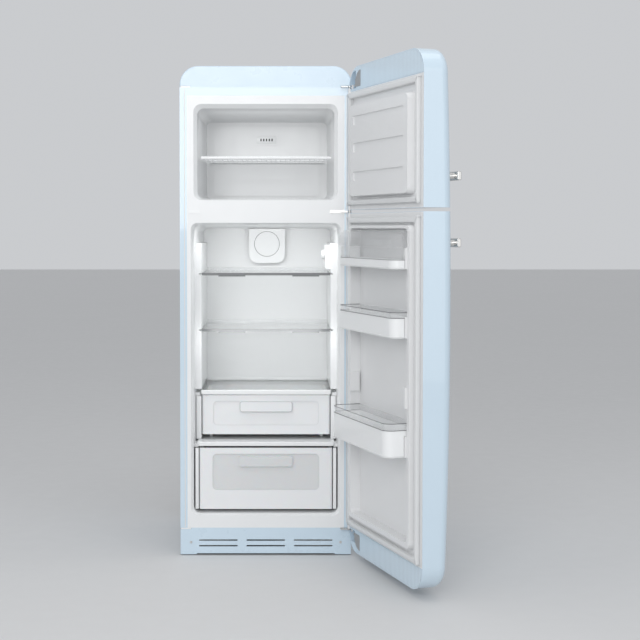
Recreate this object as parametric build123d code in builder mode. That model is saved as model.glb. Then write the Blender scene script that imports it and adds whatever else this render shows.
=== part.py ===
from build123d import *
import os
from math import sqrt

# Top freezer refrigerator with rounded, crowned doors hung on the right.
# Millimetres. X to the right, Y to the back, Z up.
# Origin on the floor, at the centre of the cabinet's footprint.
# Both doors are drawn shut and then swung open about the hinge line.

# ---- driving dimensions ----
CABINET_WIDTH = 600
CABINET_DEPTH = 556
CABINET_HEIGHT = 1715
CAP_HEIGHT = 75
CAP_CORNER = 65
SHELL_SHEET = 1.0
PLASTIC = 2.5
FLOOR_GAP = 3
PLINTH_TOP = 97
FRAME_TOP = 1612
FLANGE_WIDTH = 25

DOOR_GAP = 14
DOOR_EDGE_DEPTH = 102
DOOR_CROWN = 10
DOOR_BARREL_RADIUS = 21500
DOOR_BARREL_CENTRE = 900
CROWN_SWEEP = 3
DOOR_CORNER = 80
DOOR_ROUNDING = 30
DOOR_SKIN = 1.2
DOOR_SHEET = 2.0
FRIDGE_DOOR_BOTTOM = 27
FRIDGE_DOOR_TOP = 1202
FREEZER_DOOR_BOTTOM = 1214
FREEZER_DOOR_TOP = 1705
DOOR_OPENING = 109

HINGE_INSET = 7.5
PIN_RADIUS = 3
RUNNING_CLEARANCE = 0.05
BOSS_RADIUS = 6

GASKET_OUTER = 286
GASKET_WIDTH = 24
GASKET_CLEARANCE = 0.3

# ---- derived places ----
HALF = CABINET_WIDTH / 2
FRONT = -CABINET_DEPTH / 2
BACK = CABINET_DEPTH / 2
CAP_BOTTOM = CABINET_HEIGHT - CAP_HEIGHT
INSIDE = HALF - SHELL_SHEET
PANEL_BACK = BACK - 34
DOOR_BACK = FRONT - DOOR_GAP
DOOR_FACE = DOOR_BACK - DOOR_EDGE_DEPTH - DOOR_CROWN
CROWN_RADIUS = (HALF ** 2 + DOOR_CROWN ** 2) / (2 * DOOR_CROWN)
LINER_BACK = DOOR_BACK - DOOR_SHEET
PIVOT_X = HALF - HINGE_INSET
PIVOT_Y = DOOR_BACK
HINGE_LINE = Axis((PIVOT_X, PIVOT_Y, 0), (0, 0, 1))

os.makedirs("parts", exist_ok=True)


# ---- small helpers ----
def middle(span):
    return (span[0] + span[1]) / 2


def block(x, y, z, mode=Mode.ADD):
    """Adds a box that fills the given low and high limits to the part being built."""
    with Locations((middle(x), middle(y), middle(z))):
        Box(x[1] - x[0], y[1] - y[0], z[1] - z[0], mode=mode)


def rod(start, along, radius, length, mode=Mode.ADD):
    """Adds a round bar that starts at a point and runs along a direction."""
    turned = Plane(origin=start, z_dir=along)
    with Locations(turned):
        Cylinder(radius, length, align=(Align.CENTER, Align.CENTER, Align.MIN), mode=mode)


def face_plane(y):
    """A drawing plane across the width at depth y, whose normal points to the front."""
    return Plane.XZ.offset(-y)


def rounded_panel(y, half_width, low, high, radius):
    """A rounded rectangle at depth y, as a section for a loft or an extrusion."""
    with BuildSketch(face_plane(y)) as section:
        with Locations((0, (low + high) / 2)):
            RectangleRounded(2 * half_width, high - low, radius)
    return section.sketch


def tub_form(sections, grow=0):
    """The solid inside a moulded compartment, through its sections from front to back."""
    with BuildPart() as form:
        last = len(sections) - 1
        for index in range(last):
            ends = []
            for step in (index, index + 1):
                y, half_width, low, high, radius = sections[step]
                depth = y + grow if step == last else y
                ends.append(rounded_panel(depth, half_width + grow, low - grow, high + grow, radius + grow))
            loft(sections=ends, ruled=True)
    return form.part


def keep(node, name, swing=0, crowned=False):
    """Swings a finished piece about the hinge line, labels it and writes it."""
    if swing:
        node.part = node.part.rotate(HINGE_LINE, swing)
    if crowned:
        # one kind of surface throughout, so that the written edges stay on the crown
        node.part = node.part.to_splines()
    node.part.label = name
    export_step(node.part, "parts/" + name + ".step")


# ---- cabinet shell: sides and flat top with folded front flanges ----
with BuildPart() as cabinet_shell:
    with BuildSketch(face_plane(BACK)):
        with Locations((0, (CAP_BOTTOM + FLOOR_GAP) / 2)):
            Rectangle(CABINET_WIDTH, CAP_BOTTOM - FLOOR_GAP)
        with Locations((0, (CAP_BOTTOM - 2 * SHELL_SHEET + FLOOR_GAP) / 2)):
            Rectangle(2 * INSIDE, CAP_BOTTOM - FLOOR_GAP, mode=Mode.SUBTRACT)
    extrude(amount=CABINET_DEPTH)
    for side in (-1, 1):
        edges_x = sorted((side * (HALF - FLANGE_WIDTH), side * INSIDE))
        block(edges_x, (FRONT, FRONT + SHELL_SHEET), (PLINTH_TOP, CAP_BOTTOM - SHELL_SHEET))
    block((-INSIDE, INSIDE), (FRONT, FRONT + SHELL_SHEET), (FRAME_TOP, CAP_BOTTOM - SHELL_SHEET))
keep(cabinet_shell, "cabinet_shell")

# ---- moulded top with rounded shoulders ----
SLOT_INNER = 262
SLOT_OUTER = 297
SLOT_TOP = CAP_BOTTOM + 6


def cap_outline(inset):
    """The front view of the top, with its two round shoulders."""
    with BuildSketch(face_plane(BACK - inset)) as outline:
        with Locations((0, CAP_BOTTOM)):
            Rectangle(
                CABINET_WIDTH - 2 * inset,
                CAP_HEIGHT - inset,
                align=(Align.CENTER, Align.MIN),
            )
        fillet(outline.vertices().group_by(Axis.Y)[-1], CAP_CORNER - inset)
    return outline.sketch


with BuildPart() as top_cap:
    extrude(cap_outline(0), amount=CABINET_DEPTH)
    for end in (top_cap.faces().sort_by(Axis.Y)[0], top_cap.faces().sort_by(Axis.Y)[-1]):
        fillet(end.edges().filter_by(lambda edge: edge.center().Z > CAP_BOTTOM + 1), 4)
    extrude(cap_outline(PLASTIC), amount=CABINET_DEPTH - 2 * PLASTIC, mode=Mode.SUBTRACT)
    for side in (-1, 1):
        slot_x = sorted((side * SLOT_INNER, side * SLOT_OUTER))
        block(slot_x, (FRONT - 1, FRONT + PLASTIC + 1), (CAP_BOTTOM, SLOT_TOP), Mode.SUBTRACT)
keep(top_cap, "top_cap")

# ---- compartments ----
FREEZER_SECTIONS = [
    (FRONT, 252, 1248, 1583, 28),
    (FRONT + 16, 240, 1252, 1569, 24),
    (165, 226, 1262, 1548, 18),
]
FRIDGE_SECTIONS = [
    (FRONT, 262, 141, 1169, 24),
    (FRONT + 14, 254, 146, 1163, 22),
    (170, 244, 156, 1150, 18),
]
STEP_FACE = 25
STEP_TOP = 300
STEP_BACK_TOP = 345


def compressor_step(shrink):
    """The raised back of the fridge floor, which leaves room for the compressor."""
    with BuildPart() as step:
        with BuildSketch(Plane.YZ.offset(-HALF)):
            with BuildLine():
                Polyline(
                    (STEP_FACE, 90),
                    (STEP_FACE, STEP_TOP),
                    (STEP_FACE + 55, STEP_BACK_TOP),
                    (200, STEP_BACK_TOP),
                    (200, 90),
                    close=True,
                )
            make_face()
            if shrink:
                offset(amount=-shrink, kind=Kind.INTERSECTION)
        extrude(amount=CABINET_WIDTH)
    return step.part


with BuildPart() as fridge_space:
    add(tub_form(FRIDGE_SECTIONS))
    add(compressor_step(0), mode=Mode.SUBTRACT)

with BuildPart() as fridge_outside:
    add(tub_form(FRIDGE_SECTIONS, PLASTIC))
    add(compressor_step(PLASTIC), mode=Mode.SUBTRACT)

freezer_space = tub_form(FREEZER_SECTIONS)
freezer_outside = tub_form(FREEZER_SECTIONS, PLASTIC)

with BuildPart() as inner_liner:
    frame_half = HALF - FLANGE_WIDTH
    block((-frame_half, frame_half), (FRONT, FRONT + PLASTIC), (PLINTH_TOP, FRAME_TOP))
    add(freezer_outside)
    add(fridge_outside.part)
    add(freezer_space, mode=Mode.SUBTRACT)
    add(fridge_space.part, mode=Mode.SUBTRACT)
keep(inner_liner, "inner_liner")

# ---- insulation round both compartments, open below the step for the compressor ----
MACHINE_FRONT = 70
MACHINE_TOP = 245

with BuildPart() as cabinet_foam:
    block((-INSIDE, INSIDE), (FRONT + PLASTIC, PANEL_BACK), (PLINTH_TOP, CAP_BOTTOM - SHELL_SHEET))
    add(freezer_outside, mode=Mode.SUBTRACT)
    add(fridge_outside.part, mode=Mode.SUBTRACT)
    with BuildSketch(Plane.YZ.offset(-HALF)):
        with BuildLine():
            Polyline(
                (MACHINE_FRONT, 0),
                (MACHINE_FRONT, MACHINE_TOP),
                (MACHINE_FRONT + 45, MACHINE_TOP + 45),
                (BACK, MACHINE_TOP + 45),
                (BACK, 0),
                close=True,
            )
        make_face()
    extrude(amount=CABINET_WIDTH, mode=Mode.SUBTRACT)
keep(cabinet_foam, "cabinet_foam")

# ---- back sheet behind the insulation ----
with BuildPart() as back_panel:
    block(
        (-INSIDE, INSIDE),
        (PANEL_BACK, PANEL_BACK + SHELL_SHEET),
        (MACHINE_TOP + 45, CAP_BOTTOM - SHELL_SHEET),
    )
keep(back_panel, "back_panel")

# ---- base frame with bosses for the feet, ears for the rollers and a compressor shelf ----
BASE_LOW = 20
BASE_SHEET = 2
FOOT_X = 262
FOOT_Y = FRONT + 45
STEM_RADIUS = 5
PAD_HEIGHT = 8
ROLLER_X = 262
ROLLER_Y = BACK - 43
ROLLER_RADIUS = 20
ROLLER_WIDTH = 22
AXLE_RADIUS = 4
COMPRESSOR_X = -50
COMPRESSOR_Y = 172
GROMMET_SPREAD_X = 85
GROMMET_SPREAD_Y = 50

with BuildPart() as base_frame:
    block((-INSIDE, INSIDE), (FRONT + 6, BACK - 6), (BASE_LOW, BASE_LOW + BASE_SHEET))
    for side in (-1, 1):
        flange_x = sorted((side * (INSIDE - BASE_SHEET), side * INSIDE))
        block(flange_x, (FRONT + 6, BACK - 6), (BASE_LOW, BASE_LOW + 22))
        window_x = (side * ROLLER_X - ROLLER_WIDTH / 2 - 2, side * ROLLER_X + ROLLER_WIDTH / 2 + 2)
        block(window_x, (ROLLER_Y - 24, ROLLER_Y + 24), (0, 60), Mode.SUBTRACT)
        for edge in (-1, 1):
            ear = side * ROLLER_X + edge * (ROLLER_WIDTH / 2 + 3.5)
            block((ear - 1.5, ear + 1.5), (ROLLER_Y - 12, ROLLER_Y + 12), (8, 34))
        rod(
            (side * ROLLER_X - 20, ROLLER_Y, ROLLER_RADIUS),
            (1, 0, 0),
            AXLE_RADIUS + RUNNING_CLEARANCE,
            40,
            Mode.SUBTRACT,
        )
        rod((side * FOOT_X, FOOT_Y, PAD_HEIGHT + 0.5), (0, 0, 1), 10, 40)
        rod(
            (side * FOOT_X, FOOT_Y, 0),
            (0, 0, 1),
            STEM_RADIUS + RUNNING_CLEARANCE,
            60,
            Mode.SUBTRACT,
        )
    for side in (-1, 1):
        for edge in (-1, 1):
            rod(
                (COMPRESSOR_X + side * GROMMET_SPREAD_X, COMPRESSOR_Y + edge * GROMMET_SPREAD_Y, BASE_LOW),
                (0, 0, 1),
                3,
                24,
            )
keep(base_frame, "base_frame")

# ---- levelling feet, screwed fully in, and rear rollers ----
for name, side in (("front_left_foot", -1), ("front_right_foot", 1)):
    with BuildPart() as foot:
        rod((side * FOOT_X, FOOT_Y, 0), (0, 0, 1), 18, PAD_HEIGHT)
        fillet(foot.edges().filter_by(GeomType.CIRCLE), 1.5)
        rod((side * FOOT_X, FOOT_Y, PAD_HEIGHT), (0, 0, 1), STEM_RADIUS, 38)
    keep(foot, name)

for name, side in (("left_roller", -1), ("right_roller", 1)):
    with BuildPart() as roller:
        rod(
            (side * ROLLER_X - ROLLER_WIDTH / 2, ROLLER_Y, ROLLER_RADIUS),
            (1, 0, 0),
            ROLLER_RADIUS,
            ROLLER_WIDTH,
        )
        fillet(roller.edges().filter_by(GeomType.CIRCLE), 1.5)
        rod(
            (side * ROLLER_X - ROLLER_WIDTH / 2 - 6, ROLLER_Y, ROLLER_RADIUS),
            (1, 0, 0),
            AXLE_RADIUS,
            ROLLER_WIDTH + 12,
        )
    keep(roller, name)

# ---- slotted plinth below the doors ----
SLOT_ROWS = (33, 53)
SLOT_CENTRES = (-167, 0, 167)
SLOT_LENGTH = 136
SLOT_HEIGHT = 5
NOTCH_INNER = 262
NOTCH_DROP = 5
PLINTH_SCREW_X = 263
PLINTH_SCREW_Z = 46
PLINTH_FACE = FRONT + 3

with BuildPart() as kick_plate:
    with BuildSketch(face_plane(PLINTH_FACE)):
        with Locations((0, (FLOOR_GAP + PLINTH_TOP) / 2)):
            Rectangle(2 * INSIDE - 0.4, PLINTH_TOP - FLOOR_GAP)
        with Locations((0, FLOOR_GAP)):
            RectangleRounded(486, 7, 3, mode=Mode.SUBTRACT)
        with Locations([(x, z) for x in SLOT_CENTRES for z in SLOT_ROWS]):
            SlotOverall(SLOT_LENGTH, SLOT_HEIGHT, mode=Mode.SUBTRACT)
        for side in (-1, 1):
            with Locations((side * (NOTCH_INNER + INSIDE) / 2, PLINTH_TOP - NOTCH_DROP / 2)):
                Rectangle(INSIDE - NOTCH_INNER, NOTCH_DROP, mode=Mode.SUBTRACT)
        with Locations((-PLINTH_SCREW_X, PLINTH_SCREW_Z), (PLINTH_SCREW_X, PLINTH_SCREW_Z)):
            Circle(2.3, mode=Mode.SUBTRACT)
    extrude(amount=3)
    block((-240, 240), (PLINTH_FACE, PLINTH_FACE + 12), (PLINTH_TOP - 3, PLINTH_TOP))
keep(kick_plate, "kick_plate")

# ---- hinges: a plate with a pin at the top, the middle and the bottom ----
HINGE_SHEET = 3
POCKET_FLOOR = 1630
BOTTOM_POCKET_ROOF = 100
TOP_BOSS = (1612, POCKET_FLOOR + 2)
GAP_BOSS_LENGTH = 18
MIDDLE_SCREWS_X = (234, 255)
MIDDLE_SCREW_Z = (FREEZER_DOOR_BOTTOM + FRIDGE_DOOR_TOP) / 2


def hinge_nose(low, thickness):
    """The rounded end of a hinge plate around the pin."""
    rod((PIVOT_X, PIVOT_Y, low), (0, 0, 1), BOSS_RADIUS, thickness)


with BuildPart() as top_hinge:
    block((SLOT_INNER + 1, SLOT_OUTER - 1), (PIVOT_Y, FRONT + 90), (CAP_BOTTOM, CAP_BOTTOM + HINGE_SHEET))
    hinge_nose(CAP_BOTTOM, HINGE_SHEET)
    rod((PIVOT_X, PIVOT_Y, TOP_BOSS[0] + 4), (0, 0, 1), PIN_RADIUS, CAP_BOTTOM - TOP_BOSS[0] - 4)
keep(top_hinge, "top_hinge")

with BuildPart() as middle_hinge:
    low = MIDDLE_SCREW_Z - 2.5
    block((224, 278), (FRONT - PLASTIC, FRONT), (MIDDLE_SCREW_Z - 5.5, MIDDLE_SCREW_Z + 5.5))
    block((262, PIVOT_X + BOSS_RADIUS), (PIVOT_Y, FRONT), (low, low + 5))
    hinge_nose(low, 5)
    rod(
        (PIVOT_X, PIVOT_Y, FRIDGE_DOOR_TOP - GAP_BOSS_LENGTH + 4),
        (0, 0, 1),
        PIN_RADIUS,
        FREEZER_DOOR_BOTTOM - FRIDGE_DOOR_TOP + 2 * GAP_BOSS_LENGTH - 8,
    )
keep(middle_hinge, "middle_hinge")

with BuildPart() as bottom_hinge:
    low = PLINTH_TOP - 4
    block((NOTCH_INNER + 1, PIVOT_X + BOSS_RADIUS - 1), (PIVOT_Y, PLINTH_FACE + 60), (low, low + HINGE_SHEET))
    hinge_nose(low, HINGE_SHEET)
    pin_length = BOTTOM_POCKET_ROOF + 15 - low - HINGE_SHEET
    rod((PIVOT_X, PIVOT_Y, low + HINGE_SHEET), (0, 0, 1), PIN_RADIUS, pin_length)
keep(bottom_hinge, "bottom_hinge")

# ---- covers over the hinge places on the side that isn't used ----
with BuildPart() as blank_covers:
    block((-SLOT_OUTER + 0.5, -SLOT_INNER - 0.5), (FRONT, FRONT + PLASTIC), (CAP_BOTTOM, SLOT_TOP - 0.5))
    block((-271, -229), (FRONT - 2, FRONT), (MIDDLE_SCREW_Z - 5.5, MIDDLE_SCREW_Z + 5.5))
    low_cover_z = (PLINTH_TOP - NOTCH_DROP + 0.3, PLINTH_TOP - 0.3)
    block((-INSIDE + 1, -NOTCH_INNER - 1), (FRONT, PLINTH_FACE), low_cover_z)
keep(blank_covers, "blank_covers")

# ---- screws that show: two in the plinth, two in the middle hinge, three in the top hinge ----
with BuildPart() as cabinet_screws:
    for side in (-1, 1):
        rod((side * PLINTH_SCREW_X, FRONT, PLINTH_SCREW_Z), (0, -1, 0), 4.5, 1.8)
        rod((side * PLINTH_SCREW_X, FRONT + 10, PLINTH_SCREW_Z), (0, -1, 0), 2, 10)
    for x in MIDDLE_SCREWS_X:
        rod((x, FRONT - PLASTIC, MIDDLE_SCREW_Z), (0, -1, 0), 4, 2)
    for y in (FRONT + 20, FRONT + 45, FRONT + 70):
        rod((280, y, CAP_BOTTOM + HINGE_SHEET), (0, 0, 1), 5, 3)
keep(cabinet_screws, "cabinet_screws")

# ---- shelf rails, and the runners under the lower drawer ----
RAIL_INNER = 231
RAIL_FRONT = -185
RAIL_LOW = 575
RAIL_HIGH = 1096
SHELF_BOTTOMS = {"upper": 985, "middle": 784}
GLASS = 4
SHELF_HALF = 238
SHELF_REAR = 160
DRAWER_FLOOR = 165
COVER_REAR = 160

with BuildPart() as shelf_supports:
    for side in (-1, 1):
        rail_x = sorted((side * RAIL_INNER, side * HALF))
        block(rail_x, (RAIL_FRONT, 169), (RAIL_LOW, RAIL_HIGH))
        ledge_x = sorted((side * 236, side * HALF))
        block(ledge_x, (RAIL_FRONT + 8, 150), (550, 561.5))
        lower_ledge_x = sorted((side * 239, side * HALF))
        block(lower_ledge_x, (FRONT + 40, 10), (376, 387.5))
        runner_x = sorted((side * 190, side * 200))
        block(runner_x, (FRONT + 90, 10), (140, DRAWER_FLOOR - 0.5))
    for bottom in SHELF_BOTTOMS.values():
        slot_z = (bottom - 0.5, bottom + GLASS + 0.5)
        block((-SHELF_HALF - 1, SHELF_HALF + 1), (RAIL_FRONT - 1, 171), slot_z, Mode.SUBTRACT)
    add(fridge_space.part, mode=Mode.INTERSECT)
keep(shelf_supports, "shelf_supports")

# ---- two glass shelves, each with a dark front edge and a raised back edge ----
for name, bottom in SHELF_BOTTOMS.items():
    with BuildPart() as glass:
        block((-SHELF_HALF, SHELF_HALF), (RAIL_FRONT + 5, SHELF_REAR), (bottom, bottom + GLASS))
    keep(glass, name + "_shelf_glass")
    with BuildPart() as trim:
        front_z = (bottom - 3, bottom + GLASS + 2)
        block((-RAIL_INNER + 2, RAIL_INNER - 2), (RAIL_FRONT - 3, RAIL_FRONT + 5), front_z)
        for x in (-122, 142):
            clip_z = (bottom - 7, bottom - 3)
            block((x - 48, x + 48), (RAIL_FRONT - 2, RAIL_FRONT + 3), clip_z)
        block((-RAIL_INNER + 2, RAIL_INNER - 2), (SHELF_REAR, SHELF_REAR + 4), (bottom - 2, bottom + 16))
    keep(trim, name + "_shelf_trim")

# ---- covers over the two drawers ----
UPPER_COVER = 562
LOWER_COVER = 388
UPPER_DRAWER_FLOOR = 412

with BuildPart() as upper_cover_glass:
    block((-240, 240), (RAIL_FRONT, COVER_REAR), (UPPER_COVER, UPPER_COVER + GLASS))
keep(upper_cover_glass, "upper_cover_glass")

with BuildPart() as upper_cover_trim:
    block((-RAIL_INNER, RAIL_INNER), (RAIL_FRONT - 8, RAIL_FRONT), (UPPER_COVER - 6, UPPER_COVER + 10))
    fillet(upper_cover_trim.edges().filter_by(Axis.X), 2.5)
    block((-RAIL_INNER, RAIL_INNER), (COVER_REAR, COVER_REAR + 4), (UPPER_COVER, UPPER_COVER + 16))
keep(upper_cover_trim, "upper_cover_trim")

with BuildPart() as lower_cover:
    block((-242, 242), (FRONT + 30, COVER_REAR), (LOWER_COVER, LOWER_COVER + 6))
    block((-238, 238), (FRONT + 24, FRONT + 30), (LOWER_COVER - 7, LOWER_COVER + 8))
    fillet(lower_cover.edges().filter_by(Axis.X).group_by(Axis.Y)[0], 2.5)
    for side in (-1, 1):
        runner_x = sorted((side * 195, side * 205))
        block(runner_x, (RAIL_FRONT + 65, 140), (LOWER_COVER + 6, UPPER_DRAWER_FLOOR - 0.5))
keep(lower_cover, "lower_cover")

# ---- drawers ----
def box_plan(half_width, y, z, inset, corner):
    """A rounded rectangle at height z, shrunk by inset."""
    with BuildSketch(Plane.XY.offset(z)) as plan:
        with Locations((0, middle(y))):
            RectangleRounded(2 * (half_width - inset), y[1] - y[0] - 2 * inset, corner - inset)
    return plan.sketch


def open_box(half_width, y, z, wall, corner):
    """Adds an open box with rounded upright corners."""
    extrude(box_plan(half_width, y, z[0], 0, corner), amount=z[1] - z[0])
    extrude(box_plan(half_width, y, z[0] + wall, wall, corner), amount=z[1] - z[0], mode=Mode.SUBTRACT)


GRIP_HALF = 94

with BuildPart() as upper_drawer:
    upper_front = RAIL_FRONT
    open_box(224, (upper_front + 2, 142), (UPPER_DRAWER_FLOOR, 548), 2.5, 16)
    open_box(229, (upper_front, upper_front + 48), (UPPER_DRAWER_FLOOR, 552), 8, 9)
    block((-218, 218), (upper_front + 10.5, upper_front + 60), (414.5, 560), Mode.SUBTRACT)
    with BuildSketch(face_plane(upper_front)):
        with Locations((0, 488)):
            RectangleRounded(376, 86, 14)
    extrude(amount=-3, mode=Mode.SUBTRACT)
    with BuildSketch(face_plane(upper_front + 3)):
        with Locations((0, 512)):
            RectangleRounded(2 * GRIP_HALF, 38, 8)
    extrude(amount=12)
    with BuildSketch(Plane.XY.offset(494)):
        with Locations((0, upper_front - 2.5)):
            RectangleRounded(2 * GRIP_HALF - 10, 9, 3)
    extrude(amount=26, mode=Mode.SUBTRACT)
keep(upper_drawer, "upper_drawer")

LOWER_DRAWER_TOP = 377
LOWER_FRONT_LOW = 158
WINDOW_HALF = 188
WINDOW_LOW = 226
WINDOW_HIGH = 354

with BuildPart() as lower_drawer:
    lower_front = FRONT + 24
    open_box(228, (lower_front + 2, 12), (DRAWER_FLOOR, 366), 2.5, 18)
    open_box(235, (lower_front, lower_front + 48), (LOWER_FRONT_LOW, LOWER_DRAWER_TOP - 2), 8, 9)
    block((-222, 222), (lower_front + 10.5, lower_front + 60), (167.5, 400), Mode.SUBTRACT)
    with BuildSketch(face_plane(lower_front + 20)):
        with Locations((0, (WINDOW_LOW + WINDOW_HIGH) / 2)):
            RectangleRounded(2 * WINDOW_HALF, WINDOW_HIGH - WINDOW_LOW, 16)
    extrude(amount=40, mode=Mode.SUBTRACT)
keep(lower_drawer, "lower_drawer")

with BuildPart() as lower_drawer_window:
    with BuildSketch(face_plane(lower_front + 7)):
        with Locations((0, (WINDOW_LOW + WINDOW_HIGH) / 2)):
            RectangleRounded(2 * WINDOW_HALF, WINDOW_HIGH - WINDOW_LOW, 16)
    extrude(amount=4)
    with BuildSketch(face_plane(lower_front + 4)):
        with Locations((0, 328)):
            RectangleRounded(2 * GRIP_HALF, 36, 8)
    extrude(amount=12)
    with BuildSketch(Plane.XY.offset(311)):
        with Locations((0, lower_front - 2)):
            RectangleRounded(2 * GRIP_HALF - 10, 9, 3)
    extrude(amount=24, mode=Mode.SUBTRACT)
keep(lower_drawer_window, "lower_drawer_window")

# ---- wire shelf of the freezer ----
WIRE_SHELF = 1398
WIRE_FRONT = FRONT + 52
WIRE_REAR = 95
WIRE_COUNT = 25

with BuildPart() as freezer_shelf:
    rod((-229, WIRE_FRONT, WIRE_SHELF), (1, 0, 0), 6, 458)
    rod((-216, WIRE_REAR, WIRE_SHELF), (1, 0, 0), 3, 432)
    for y in (-110, 0):
        rod((-220, y, WIRE_SHELF - 4), (1, 0, 0), 2.5, 440)
    for index in range(WIRE_COUNT):
        x = -210 + index * 420 / (WIRE_COUNT - 1)
        rod((x, WIRE_FRONT, WIRE_SHELF), (0, 1, 0), 1.8, WIRE_REAR - WIRE_FRONT)
keep(freezer_shelf, "freezer_shelf")

# ---- freezer back: panel with air holes, and the evaporator behind it ----
PANEL_FACE = 108
AIR_HOLE_Z = 1486

with BuildPart() as freezer_back_panel:
    block((-HALF, HALF), (PANEL_FACE, PANEL_FACE + 2.5), (1240, 1580))
    add(freezer_space, mode=Mode.INTERSECT)
    with BuildSketch(face_plane(PANEL_FACE)):
        with Locations((0, 1403)):
            RectangleRounded(404, 264, 20)
    extrude(amount=4)
    with BuildSketch(face_plane(PANEL_FACE - 4)):
        with Locations((0, AIR_HOLE_Z)):
            RectangleRounded(92, 46, 10)
    extrude(amount=3)
    for index in range(5):
        rod(((index - 2) * 8.5, PANEL_FACE - 10, AIR_HOLE_Z), (0, 1, 0), 2.6, 20, Mode.SUBTRACT)
keep(freezer_back_panel, "freezer_back_panel")

FIN_COUNT = 24
TUBE_ROWS = (1310, 1345, 1380, 1415)
TUBE_COLUMNS = (125, 150)

with BuildPart() as evaporator:
    for index in range(FIN_COUNT):
        x = -190 + index * 380 / (FIN_COUNT - 1)
        block((x - 0.5, x + 0.5), (114, 161), (1295, 1430))
    for y in TUBE_COLUMNS:
        for z in TUBE_ROWS:
            rod((-205, y, z), (1, 0, 0), 4, 410)
keep(evaporator, "evaporator")

# ---- fan behind a cover at the back of the fridge ----
FAN_Z = 1090
FAN_X = 0
COVER_FACE = 138
COVER_HALF = 69
COVER_LOW = 1017
COVER_HIGH = 1148
FAN_RING = 48.5


def fan_cover_outline(y, inset):
    """The cover's front view: square at the top, round at its two lower corners."""
    with BuildSketch(face_plane(y)) as outline:
        with Locations((0, (COVER_LOW + COVER_HIGH) / 2)):
            Rectangle(2 * (COVER_HALF - inset), COVER_HIGH - COVER_LOW - 2 * inset)
        fillet(outline.vertices().group_by(Axis.Y)[0], 34 - inset)
    return outline.sketch


with BuildPart() as fan_cover:
    extrude(fan_cover_outline(169, 0), amount=169 - COVER_FACE)
    extrude(fan_cover_outline(170, PLASTIC), amount=170 - COVER_FACE - PLASTIC, mode=Mode.SUBTRACT)
    with BuildSketch(face_plane(COVER_FACE + 1)):
        with Locations((FAN_X, FAN_Z)):
            Circle(FAN_RING)
            Circle(FAN_RING - 1.6, mode=Mode.SUBTRACT)
    extrude(amount=2, mode=Mode.SUBTRACT)
    for z in range(1055, 1130, 12):
        block((-COVER_HALF - 1, COVER_HALF + 1), (COVER_FACE + 6, COVER_FACE + 26), (z, z + 5), Mode.SUBTRACT)
keep(fan_cover, "fan_cover")

with BuildPart() as fan_motor:
    rod((FAN_X, 169, FAN_Z), (0, -1, 0), 17, 10)
    rod((FAN_X, 159, FAN_Z), (0, -1, 0), 2, 14)
keep(fan_motor, "fan_motor")

with BuildPart() as fan_impeller:
    rod((FAN_X, 156, FAN_Z), (0, -1, 0), 14, 11)
    for index in range(7):
        blade_plane = Plane(origin=(FAN_X, 150.5, FAN_Z), z_dir=(0, -1, 0)).rotated((0, 0, index * 360 / 7))
        with BuildSketch(blade_plane):
            with Locations((26, 0)):
                Rectangle(28, 9)
        extrude(amount=1.2, both=True)
    rod((FAN_X, 160, FAN_Z), (0, -1, 0), 2 + RUNNING_CLEARANCE, 20, Mode.SUBTRACT)
keep(fan_impeller, "fan_impeller")

# ---- temperature control and lamp on the right wall ----
BOX_INNER = 212
KNOB_Y = -125
KNOB_Z = 1055

with BuildPart() as control_box:
    block((BOX_INNER, RAIL_INNER), (-170, -62), (1004, 1090))
    fillet(control_box.edges().group_by(Axis.X)[0], 6)
    block((BOX_INNER - 1, BOX_INNER + 4), (-98, -70), (1016, 1078), Mode.SUBTRACT)
    rod((BOX_INNER - 1, KNOB_Y, KNOB_Z), (1, 0, 0), 3 + RUNNING_CLEARANCE, 12, Mode.SUBTRACT)
keep(control_box, "control_box")

with BuildPart() as lamp_lens:
    block((BOX_INNER - 1, BOX_INNER + 4), (-97.5, -70.5), (1016.5, 1077.5))
keep(lamp_lens, "lamp_lens")

with BuildPart() as thermostat_knob:
    rod((BOX_INNER - 1, KNOB_Y, KNOB_Z), (-1, 0, 0), 17, 9)
    fillet(thermostat_knob.edges().group_by(Axis.X)[0], 2)
    block((BOX_INNER - 12.5, BOX_INNER - 10), (KNOB_Y - 1.5, KNOB_Y + 1.5), (KNOB_Z, KNOB_Z + 15))
    rod((BOX_INNER - 1, KNOB_Y, KNOB_Z), (1, 0, 0), 3, 9)
keep(thermostat_knob, "thermostat_knob")

# ---- compressor on rubber grommets, with its relay, drip tray and drier ----
with BuildPart() as compressor_grommets:
    for side in (-1, 1):
        for edge in (-1, 1):
            spot = (COMPRESSOR_X + side * GROMMET_SPREAD_X, COMPRESSOR_Y + edge * GROMMET_SPREAD_Y, 22)
            rod(spot, (0, 0, 1), 11, 12)
            rod(spot, (0, 0, 1), 3.2, 12, Mode.SUBTRACT)
keep(compressor_grommets, "compressor_grommets")

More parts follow.
